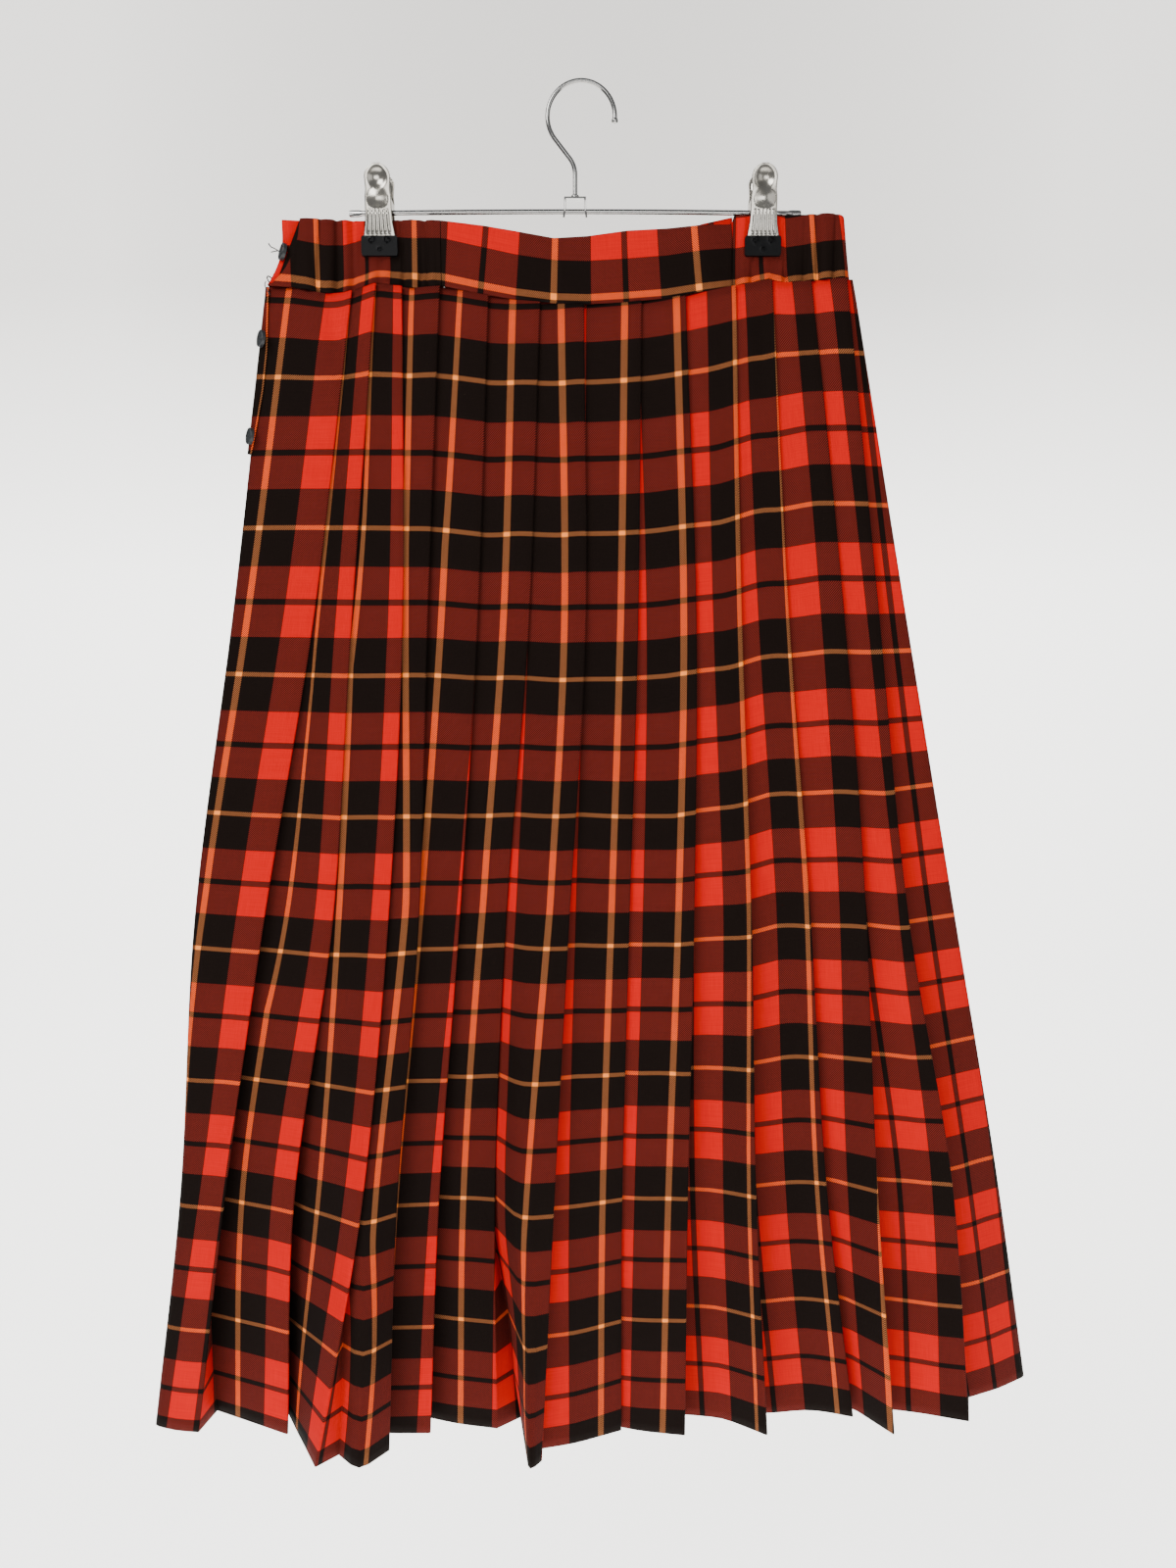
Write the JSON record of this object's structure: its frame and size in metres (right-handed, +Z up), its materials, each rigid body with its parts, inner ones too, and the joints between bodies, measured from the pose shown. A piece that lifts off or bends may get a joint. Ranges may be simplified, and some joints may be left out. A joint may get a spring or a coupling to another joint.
{
  "type": "maxi skirt",
  "caption": "Long knife-pleated tartan skirt with a waistband part-gathered at the sides and a buttoned side opening, hung by two clips from a wire hanger.",
  "frame": {"origin": "inside top of the hook's round, where the hanger rests on a rail", "axes": "+X to the viewer's right along the hanger's bar, +Y away from the viewer, +Z up"},
  "size_m": [0.6812, 0.1189, 0.9601],
  "materials": {
    "tartan": "woven wool-mix twill in a red, black and yellow check",
    "band": "the same twill, folded double",
    "button": "satin grey",
    "chrome": "bright plated steel wire and sheet",
    "vinyl": "black dipped vinyl"
  },
  "bodies": {
    "root": {"skirt_front": "tartan", "skirt_back": "tartan", "placket": "tartan", "waistband_front": "band", "waistband_back": "band", "waistband_side_right": "band", "waistband_side_left_front": "band", "waistband_side_left_back": "band", "button_1": "button", "button_2": "button", "button_3": "button", "hook": "chrome", "bracket": "chrome", "bar": "chrome", "clip_left_front": "chrome", "clip_left_rear": "chrome", "clip_left_spring": "chrome", "clip_left_front_tip": "vinyl", "clip_left_rear_tip": "vinyl", "clip_right_front": "chrome", "clip_right_rear": "chrome", "clip_right_spring": "chrome", "clip_right_front_tip": "vinyl", "clip_right_rear_tip": "vinyl"}
  },
  "joints": []
}
